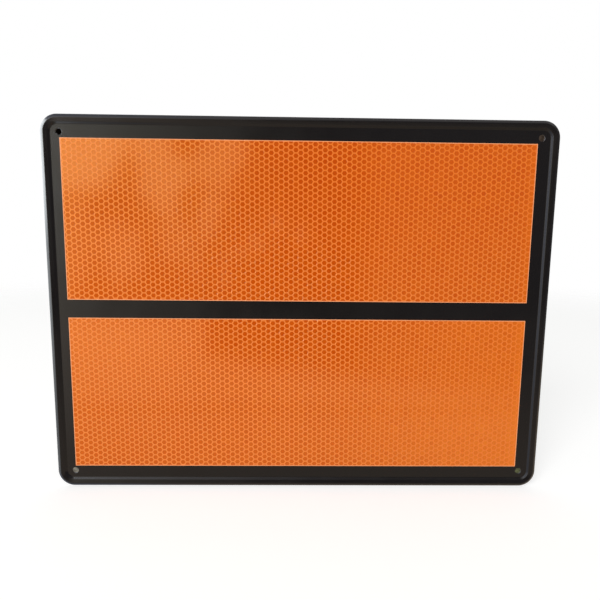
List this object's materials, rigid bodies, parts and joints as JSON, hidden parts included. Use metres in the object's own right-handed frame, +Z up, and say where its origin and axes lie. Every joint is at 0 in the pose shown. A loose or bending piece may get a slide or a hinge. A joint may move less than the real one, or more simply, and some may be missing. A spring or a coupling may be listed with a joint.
{
  "type": "dangerous goods warning plate",
  "caption": "Black formed steel vehicle plate with two blank orange reflective fields, a dividing bar, a raised rim and corner screw holes.",
  "frame": {"origin": "middle of the plate's flat back face, which lies against the vehicle or holder", "axes": "upright as fixed to a vehicle: +X right seen from the front, +Z up, the orange front faces -Y and the back faces +Y"},
  "size_m": [0.3998, 0.0029, 0.2998],
  "materials": {
    "black_paint": "satin baked black paint on sheet steel, with a very fine orange peel",
    "orange_film": "smooth orange reflective sheeting with a honeycomb of lighter cell walls under a clear face film"
  },
  "bodies": {
    "root": {"plate": "black_paint", "upper_reflective_sheet": "orange_film", "lower_reflective_sheet": "orange_film"}
  },
  "joints": []
}
